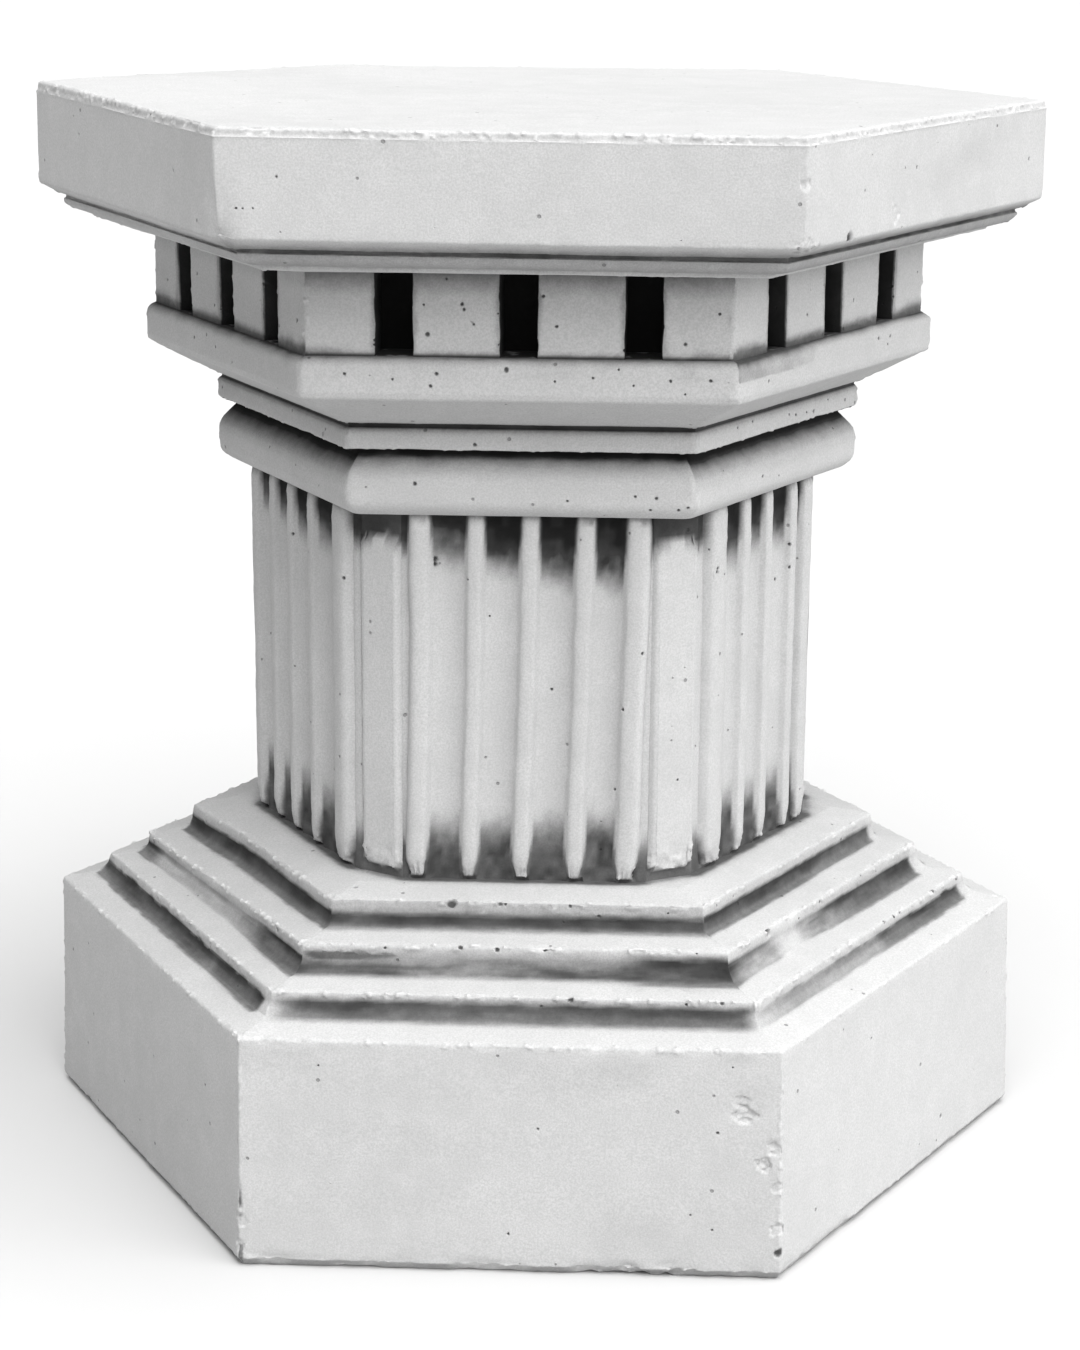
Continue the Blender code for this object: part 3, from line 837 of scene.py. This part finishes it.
def shaft_lines():
    """The lines of one face of the shaft from corner to corner, each with what its method needs."""
    face = ShaftFace
    lines = [(face.panel, j / 6.5, 0) for j in range(1, 7)]
    lines += [(face.panel_edge, j / 4, 0) for j in range(5)]
    lines += [(face.groove, j / 6, 0) for j in range(1, 6)]
    for k in range(5):
        lines += [(face.rib, k, -1 + 2 * j / 12) for j in range(13)]
        if k < 4:
            lines += [(face.flute, k, -1 + 2 * j / 13) for j in range(1, 13)]
    lines += [(face.groove, 1 - j / 6, 1) for j in range(1, 6)]
    lines += [(face.panel_edge, 1 - j / 4, 1) for j in range(5)]
    lines += [(face.panel, j / 6.5, 1) for j in range(6, -1, -1)]
    return lines


def make_shaft():
    z = 0.1375 + graded(0.1655, 0.0008, 0.0026, 1.12) * 0.1655
    height = np.stack([z * 0, z * 0, z], -1)
    lines = shaft_lines()
    shape = (len(z), len(lines) * SIDES)
    p = np.zeros(shape + (3,))
    edges = np.zeros(shape)
    wash_and_shade = np.zeros(shape)
    p[..., 2] = z[:, None]
    for k in range(SIDES):
        face = ShaftFace(k, z)
        for i, (line, a, b) in enumerate(lines):
            spot = np.array([[k * 7.1, i * 0.0016, 0.0]]) + height
            fray = 0.0026 * layered(spot, 0.008, 300) + 0.0012 * layered(spot, 0.0025, 340)
            along, out, edge, dark = line(face, a, b, fray, spot)
            column = k * len(lines) + i
            p[:, column, 0], p[:, column, 1] = turned(FRONT + k * math.pi / 3, along, out)
            edges[:, column] = edge
            wash_and_shade[:, column] = dark
    # painted contact shadow with wash on the shaft's lowest millimetres where it stands on the step; the
    # strongest wash, with painted shade, just under the torus
    foot = 0.8 * smooth(z, Z_SHAFT + 0.0022, Z_SHAFT + 0.001)[:, None]
    neck = 1.2 * smooth(z, Z_TORUS - 0.001, Z_TORUS + 0.0003)[:, None]
    wash_and_shade = np.maximum(wash_and_shade, np.maximum(0.9 * foot, neck))
    spots = spots_between(141, 290, 12, 60, [(CREST, 0.15, 0.28)])
    return make_piece("pedestal_shaft", p, edges * 0.6, spots, 200, shaft_marks, wash_and_shade)


def shaft_marks(p, face, along, out):
    """Crumbly feet of the corner panels, and the small lumps and dents of the ribs."""
    z = p[:, 2]
    panel = smooth(out * COS30 + np.abs(along) * 0.5, 0.121, 0.1222)
    rough = panel * smooth(z, 0.16, 0.152) * (z > 0.144)
    relief = rough * 0.0007 * (layered(p, 0.004, 601) - 0.2)
    wear = 0.7 * rough * (layered(p, 0.0032, 602, 2) > 0.15)
    relief = relief + 0.00032 * smooth(out, 0.112, 0.114) * layered(p, 0.007, 603)
    return np.zeros(len(p)), relief, wear


def mouldings_marks(p, face, along, out):
    """Wash in the neck, above the band and on the ledge under the frieze, and painted shade under the big
    moulding and at the top of the band.
    """
    z = p[:, 2]
    front = face == 0
    fuzz = 0.0008 * layered(p, 0.009, 450) + 0.0003 * layered(p, 0.0025, 451)
    # neck groove and the torus below it
    start = np.where(front, 0.315, 0.31)
    length = np.where(front, 0.0054, 0.009)
    # past 1 in the groove this goes toward near black: the strongest wash with painted shade
    rise = np.interp((z + fuzz - start) / length, [0, 0.5, 0.78, 1.0], [0.1, 0.45, 0.85, 1.25])
    neck = rise * (z + fuzz > start) * (z < 0.3229) * smooth(out, 0.1209, 0.1203)
    soft = 0.14 * smooth(z + fuzz, start - 0.005, start + 0.001) * (z < 0.32)
    wash_and_shade = np.maximum(neck, soft)
    # groove above the band
    shade = (z > 0.3312) * (z < 0.3342) * smooth(out, 0.1216, 0.1207)
    wash_and_shade = np.maximum(wash_and_shade, shade * np.where(front, 1.05, 0.95))
    # painted shade under the big moulding and at the top of the band below it
    wash_and_shade = np.maximum(wash_and_shade, 0.1 * (z > 0.3336) * (z < 0.3468))
    wash_and_shade = np.maximum(wash_and_shade, 0.3 * smooth(z + fuzz, 0.3275, 0.332) * (z < 0.3342))
    # ledge under the frieze, and the floors of its slots
    right_reach = 0.0003 + 0.0019 * smooth(along, 0.01, -0.06)
    reach = np.where(front, 0.001, np.where(face == RIGHT, right_reach, 0.0008))
    ledge = np.interp(out - FRIEZE_HALF + fuzz - reach, [0.0, 0.0012, 0.003], [0.9, 0.45, 0.0])
    ledge = ledge * (z > 0.356) * np.where(front, 0.74, 1.0)
    top = z > Z_FRIEZE - 0.0002
    # on the slot floors it passes 1 toward near black: the strongest wash with painted shade
    floor = 1.12 - 0.3 * smooth(out, 0.138, 0.143) - 0.45 * smooth(layered(p, 0.0028, 452, 2), 0.25, 0.5)
    wash_and_shade = np.maximum(wash_and_shade, np.where(top & (out < FRIEZE_HALF - 0.0009), floor, ledge))
    return wash_and_shade, np.zeros(len(p)), np.zeros(len(p))


def make_mouldings():
    corners = [
        (0.08, Z_TORUS, 0), (0.1158, Z_TORUS, 0.003), (0.1206, 0.2993, 0.006), (0.121, 0.312, 0.008),
        (0.1142, 0.3196, 0.002), (0.1126, 0.3224, 0), (0.1209, 0.3226, 0.0013), (0.121, 0.3255, 0),
        (0.1208, 0.3304, 0.0022), (0.1192, 0.3322, 0.0008), (0.12, 0.3334, 0), (0.1217, 0.3337, 0.0006),
        (0.1466, 0.3474, 0.002), (0.1474, 0.35, 0.002),
        *arc(FRIEZE_HALF - 0.0004, Z_FRIEZE - 0.0042, 0.0043, 0.0042, 0, 90, 7),
        (0.12, Z_FRIEZE, 0), (0.02, Z_FRIEZE, 0),
    ]
    half, z, edge, grid, upright = hexagonal(corners, 0.0036, FRIEZE_HALF, (0.0008, 0.0028, 7), 0.0042)
    shown = (half > 0.118) & (z < Z_FRIEZE - 0.0002)
    edge = 0.4 * np.clip(edge[:, None] + upright, 0, 1) * shown[:, None]
    places = [(0.1473, 0.35, 0.361), (0.1206, 0.3, 0.312), (0.121, 0.325, 0.33)]
    spots = spots_between(290, 364, 13, 55, places)
    return make_piece("pedestal_mouldings", grid, edge, spots, 400, mouldings_marks)


def frieze_marks(p, face, along, out):
    """Wash at the foot of the frieze's blocks and beside its slots, and painted shade under their head."""
    z = p[:, 2]
    fuzz = 0.0011 * layered(p, 0.008, 460) + 0.0006 * layered(p, 0.002, 461)
    reach = np.where(face == 0, 0.001, 0.0036) + 0.0016 * smooth(np.abs(along), 0.055, 0.075)
    low = np.where(face == 0, 0.55, 0.86) * smooth(z - Z_FRIEZE + fuzz, reach + 0.002, reach * 0.3)
    # painted shade: darker toward the head of each block, under the overhang of the ovolo and slab
    shade = np.where(face == 0, 0.78, np.where(face == LEFT, 0.34, 0.26))
    high = shade * np.clip(1 - (Z_FRIEZE_TOP - z + fuzz) / 0.01, 0, 1)
    line = np.where(face == 0, 0.95, 0.75) * smooth(z - Z_FRIEZE + 0.5 * fuzz, 0.0018, 0.0006)
    top = 0.006 - 0.03 * (along + 0.083)
    heavy = 0.8 * (face == RIGHT) * smooth(z - Z_FRIEZE + 1.6 * fuzz, top, 0.001)
    low = np.maximum(low, np.maximum(line, heavy))
    slot = np.minimum(np.abs(along), np.abs(np.abs(along) - SLOT_PITCH)) - SLOT_HALF
    rim = 0.5 * smooth(slot + 0.8 * fuzz, 0.0022, 0.0002) * (0.7 + 0.3 * smooth(z, 0.38, 0.39))
    return np.maximum(np.maximum(low, high), rim), 0.0001 * layered(p, 0.004, 462), np.zeros(len(p))


def make_frieze():
    low, high = Z_FRIEZE - 0.0015, Z_FRIEZE_TOP + 0.002
    corners = [(0.09, low, 0), (FRIEZE_HALF, low, 0), (FRIEZE_HALF - 0.0002, high, 0), (0.09, high, 0)]
    profile = rounded_profile(corners, 0.002, 0.0024)
    rc = 0.0022
    half = (FRIEZE_HALF - rc) * TAN30
    centres = (-SLOT_PITCH, 0.0, SLOT_PITCH)
    breaks = [-half]
    for c in centres:
        breaks += [c - SLOT_HALF, c + SLOT_HALF]
    breaks.append(half)
    columns = hexagon_columns(breaks, 0.00025, 0.0024, 5, 1.7)
    p, upright = mitred(profile, columns, rc)
    half_width, z = profile[:2]
    normal, t = columns[1:]
    number = np.arange(len(t)) // (len(t) // SIDES)

    s = t * half
    shown = (np.abs(t) < 0.999)[None] & (half_width > 0.1)[:, None]
    depth = np.zeros(p.shape[:2])
    wash_and_shade = np.zeros(p.shape[:2])
    lip = np.zeros(p.shape[:2])
    move = np.zeros(p.shape[:2])
    wander = 0.0005 * layered(p, 0.016, 77) + 0.0003 * layered(p, 0.004, 78)
    for j, c in enumerate(centres):
        gap = (SLOT_HALF - np.abs(s - c))[None]
        lean = np.array([SLOT_LEAN.get(int(k), (0, 0, 0))[j] / 1000 for k in number])[None]
        fall = np.clip((high - z) / (high - low), 0, 1)[:, None]
        sink = np.interp(gap, [0, 0.00025, 0.0006], [0, 0.05, 1])
        depth = np.maximum(depth, SLOT_DEPTH * sink * shown)
        # inside each slot it passes 1 toward near black: the strongest wash with painted shade
        wash_and_shade = np.maximum(wash_and_shade, np.interp(gap, [0.0, 0.0001, 0.0006], [0, 1, 1.3]) * shown)
        lip = np.maximum(lip, bell(gap, 0.0012) * 0.6 * shown)
        near = bell(np.maximum(-gap, 0), 0.004)
        move = move + (wander * bell(gap, 0.003) + lean * fall * near) * shown
    p[..., 0] -= depth * normal[None, :, 0] + move * normal[None, :, 1]
    p[..., 1] -= depth * normal[None, :, 1] - move * normal[None, :, 0]
    edges = 0.6 * np.maximum(upright * (half_width > 0.1)[:, None], lip) * (depth < 0.0006)
    spots = spots_between(364, 397, 14, 60, [(FRIEZE_HALF, 0.367, 0.394)])
    return make_piece("pedestal_frieze", p, edges, spots, 420, frieze_marks, wash_and_shade)


def slab_marks(p, face, along, out):
    """Wash in the quirk under the slab, painted shade on its underside and ovolo, the crumbly strip above
    its rim, its worn corner and a faint cloud.
    """
    z = p[:, 2]
    fuzz = 0.0008 * layered(p, 0.009, 470) + 0.0004 * layered(p, 0.0022, 471)
    t = along / (0.1788 * TAN30)
    share = np.where(face == 0, 1.0, np.where(face == LEFT, 0.5 + 0.4 * smooth(t, 0.2, 0.95), 1.1))
    uneven = 0.78 + 0.22 * layered(p, 0.012, 472)
    quirk = uneven * smooth(out + fuzz, 0.1792, 0.1776) * (z > 0.4067) * (z < 0.4092)
    # painted shade on the slab's downward-facing bevel and on the ovolo below it
    slope = np.interp(out + fuzz, [0.1788, 0.1812, 0.185], [0.66, 0.42, 0.04])
    slope = slope * (z > 0.4086) * (z < Z_SLAB + 0.0002)
    ovolo = np.interp(z + 0.5 * fuzz, [0.4004, 0.4014, 0.403, 0.4062], [0.05, 0.5, 0.38, 0.3])
    wash_and_shade = np.maximum(quirk, np.maximum(slope, ovolo * (z < 0.4088))) * share
    bright = 0.5 * smooth(z, 0.401, 0.4004) * (out > 0.165) * (face == 0)
    # rough strip between the rim line and the slab's top
    outer = out > OUTER_WALL
    strip = smooth(z, Z_RIM + 0.0002, Z_RIM + 0.0008) * outer
    relief = strip * (0.0003 * layered(p, 0.0042, 431) - 0.00016)
    rim = bell(z - Z_RIM, 0.0004) * (out > 0.184)
    relief = relief + rim * 0.00025 * (0.6 + 0.6 * noise(p, 0.012, 433))
    wash_and_shade = np.maximum(wash_and_shade, 0.07 * strip * smooth(z, Z_TOP, Z_TOP - 0.001))
    # front-left edge worn away toward its foot
    corner = SLAB_HALF * TAN30 - np.abs(along)
    worn = ((face == 0) & (along < 0)) | ((face == LEFT) & (along > 0))
    gone = np.interp(z, [0.409, 0.413, 0.42, 0.44], [0.0, 0.0026, 0.0018, 0.0])
    relief = relief - worn * gone * smooth(corner, 0.01, 0.0) * (1 + 0.5 * layered(p, 0.006, 437, 2))
    # soft darker cloud across the right face
    u = (along - 0.033) / 0.04
    v = (z - 0.437 - 0.22 * (along - 0.033)) / 0.0085
    wash_and_shade = np.maximum(wash_and_shade, 0.1 * np.exp(-(u * u + v * v)) * (face == RIGHT) * outer * (z < Z_RIM))
    return wash_and_shade, relief, bright


def make_slab():
    corners = [
        (0.09, Z_FRIEZE_TOP - 0.0005, 0), (0.143, Z_FRIEZE_TOP - 0.0005, 0), (0.166, 0.3994, 0.0004),
        (0.1668, 0.4009, 0.0004), (0.1682, 0.4015, 0), *arc(0.1682, 0.4066, 0.0089, 0.0051, -80, 0, 9)[1:],
        (0.1764, 0.4071, 0), (0.1763, 0.4085, 0), (0.179, 0.4087, 0.0008), (SLAB_HALF, Z_SLAB, 0.0016),
        (0.186, Z_RIM - 0.0006, 0), (0.186, Z_RIM, 0), (0.1857, Z_RIM + 0.0008, 0),
        (0.1853, Z_TOP, 0.0016), (0.02, Z_TOP, 0),
    ]
    half, z, edge, grid, upright = hexagonal(corners, 0.0042, 0.1845, (FINE_STEP, 0.0026), 0.0016)
    below_top = z < Z_TOP - 0.00001
    edge = 0.4 * np.clip(edge[:, None] + upright, 0, 1) * ((half > 0.15) & below_top)[:, None]
    edge = np.maximum(edge, 0.6 * ((z > Z_RIM + 0.0001) & below_top)[:, None])
    spots = spots_between(397, 454, 15, 12, [(0.186, 0.415, 0.448)])
    return make_piece("pedestal_slab", grid, edge, spots, 440, slab_marks)


def concrete():
    """Pale cast concrete with fine air holes, worn edges, a dark wash in the recesses and painted shade
    under overhangs and in the deepest recesses.
    """
    mat = bpy.data.materials.new("cast_concrete")
    mat.use_nodes = True
    nt = mat.node_tree
    nt.nodes.clear()

    def node(kind, inputs, **settings):
        """A node whose inputs, by name or number, are linked to outputs or set to values."""
        made = nt.nodes.new("ShaderNode" + kind)
        for key, value in settings.items():
            setattr(made, key, value)
        for key, value in inputs.items():
            if isinstance(value, bpy.types.NodeSocket):
                nt.links.new(value, made.inputs[key])
            else:
                made.inputs[key].default_value = value
        return made

    def noise_node(scale, detail=3.0, rough=0.55):
        inputs = {"Vector": where, "Scale": scale, "Detail": detail, "Roughness": rough}
        return node("TexNoise", inputs).outputs["Fac"]

    def span(value, low, high, out_low=0.0, out_high=1.0):
        inputs = {"Value": value, "From Min": low, "From Max": high, "To Min": out_low, "To Max": out_high}
        return node("MapRange", inputs, interpolation_type='SMOOTHSTEP').outputs["Result"]

    def math_node(operation, a, b):
        return node("Math", {0: a, 1: b}, operation=operation).outputs[0]

    def mix(factor, a, b):
        return node("Mix", {0: factor, 6: a, 7: b}, data_type='RGBA').outputs[2]

    def grey(v):
        return (v, v, v, 1.0)

    where = node("TexCoord", {}).outputs["Object"]
    wash_and_shade = node("Attribute", {}, attribute_name="wash_and_shade").outputs["Fac"]
    wear = node("Attribute", {}, attribute_name="wear").outputs["Fac"]

    broad = noise_node(9.0, 4.0)
    mottled = noise_node(70.0, 4.0, 0.6)
    grain = noise_node(1300.0, 3.0, 0.7)
    stone = mix(span(broad, 0.3, 0.7), grey(STONE_TONES[0]), grey(STONE_TONES[1]))
    stone = mix(span(mottled, 0.35, 0.75, 0.0, 0.42), stone, grey(PALE_TONE))
    stone = mix(span(grain, 0.34, 0.66, 0.0, 0.62), stone, grey(GRAIN_TONE))

    # fine air holes, in a few of the cells
    cells = node("TexVoronoi", {"Scale": 210.0, "Vector": where}, feature='F1')
    chance = node("SeparateColor", {"Color": cells.outputs["Color"]}).outputs["Red"]
    size = span(chance, 0.93, 1.0, 0.0, 0.14)
    dot = span(math_node("SUBTRACT", cells.outputs["Distance"], size), -0.02, 0.06, 1.0, 0.0)
    dot = math_node("MULTIPLY", dot, span(chance, 0.925, 0.935))

    # worn edges show paler stone
    stone = mix(span(wear, 0.3, 1.1, 0.0, 0.55), stone, grey(WORN_TONE))
    stone = mix(math_node("MULTIPLY", dot, 0.6), stone, grey(HOLE_TONE))

    # dark wash and painted shade, broken up most where it is half strong; above 1 the layer goes on to near
    # black, the strongest wash with painted shade in the deepest recesses
    clean = math_node("SUBTRACT", 1.0, wash_and_shade)
    loose = math_node("MULTIPLY", math_node("MULTIPLY", wash_and_shade, clean), 1.1)
    ragged = math_node("MULTIPLY", math_node("SUBTRACT", noise_node(260.0, 3.0, 0.65), 0.5), loose)
    wash = mix(span(mottled, 0.35, 0.7), grey(WASH_TONES[0]), grey(WASH_TONES[1]))
    wash = mix(span(wash_and_shade, 1.0, 1.3), wash, grey(DEEP_WASH_AND_SHADE_TONE))
    colour = mix(math_node("ADD", wash_and_shade, ragged), stone, wash)

    relief = math_node("MULTIPLY", math_node("SUBTRACT", grain, 0.5), 0.5)
    relief = math_node("ADD", relief, math_node("MULTIPLY", noise_node(260.0, 3.0, 0.6), 0.8))
    relief = math_node("SUBTRACT", relief, math_node("MULTIPLY", dot, 2.5))
    bump = node("Bump", {"Strength": 0.75, "Distance": 0.0003, "Height": relief})
    inputs = {"Base Color": colour, "Roughness": 0.9, "Specular IOR Level": 0.25, "Normal": bump.outputs[0]}
    shader = node("BsdfPrincipled", inputs)
    node("OutputMaterial", {"Surface": shader.outputs["BSDF"]})
    return mat


def make_floor():
    mesh = bpy.data.meshes.new("floor")
    r = FLOOR_REACH
    mesh.from_pydata([(-r, -r, 0), (r, -r, 0), (r, r, 0), (-r, r, 0)], [], [(0, 1, 2, 3)])
    floor = add_object("floor", mesh)
    mat = bpy.data.materials.new("pale_floor")
    mat.use_nodes = True
    shader = mat.node_tree.nodes["Principled BSDF"]
    colour = (FLOOR_TONE, FLOOR_TONE, FLOOR_TONE, 1)
    for key, value in (("Base Color", colour), ("Roughness", 0.95), ("Specular IOR Level", 0.0)):
        shader.inputs[key].default_value = value
    mesh.materials.append(mat)


def soft_sun(name, azimuth, elevation, strength, angle):
    """A broad distant light from a direction given in degrees; azimuth -90 is straight in front."""
    az, el = math.radians(azimuth), math.radians(elevation)
    toward = Vector((math.cos(el) * math.cos(az), math.cos(el) * math.sin(az), math.sin(el)))
    data = bpy.data.lights.new(name, 'SUN')
    data.energy = strength
    data.angle = math.radians(angle)
    lamp = add_object(name, data)
    lamp.rotation_mode = 'QUATERNION'
    lamp.rotation_quaternion = (-toward).to_track_quat('-Z', 'Y')
    lamp.location = toward * 3


def make_lights():
    world = bpy.data.worlds.new("studio")
    world.use_nodes = True
    background = world.node_tree.nodes["Background"]
    background.inputs["Color"].default_value = (1, 1, 1, 1)
    background.inputs["Strength"].default_value = WORLD_STRENGTH
    bpy.context.scene.world = world
    for light in SUNS:
        soft_sun(*light)


def make_camera():
    """The camera that fits the photograph."""
    yaw, pitch, roll = (math.radians(angle) for angle in CAMERA_DEGREES)
    forward = Vector((math.sin(yaw) * math.cos(pitch), math.cos(yaw) * math.cos(pitch), -math.sin(pitch)))
    right0 = Vector((math.cos(yaw), -math.sin(yaw), 0))
    up0 = right0.cross(forward)
    right = math.cos(roll) * right0 + math.sin(roll) * up0
    up = -math.sin(roll) * right0 + math.cos(roll) * up0
    data = bpy.data.cameras.new("camera")
    data.sensor_width = SENSOR_WIDTH
    data.sensor_fit = 'AUTO'
    data.lens = FOCAL_PIXELS / FRAME_HEIGHT * SENSOR_WIDTH
    camera = add_object("camera", data)
    rotation = Matrix((right, up, -forward)).transposed()
    camera.matrix_world = Matrix.Translation(CAMERA_PLACE) @ rotation.to_4x4()
    bpy.context.scene.camera = camera


material = concrete()
pieces = [make_plinth(), make_steps(), make_shaft(), make_mouldings(), make_frieze(), make_slab()]
for piece in pieces:
    piece.data.materials.append(material)
    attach(piece, "root")
    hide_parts("pedestal")
    print(piece.name, sum(len(f.vertices) - 2 for f in piece.data.polygons), "triangles")
make_floor()
make_lights()
make_camera()

bpy.context.scene.view_settings.view_transform = 'Standard'
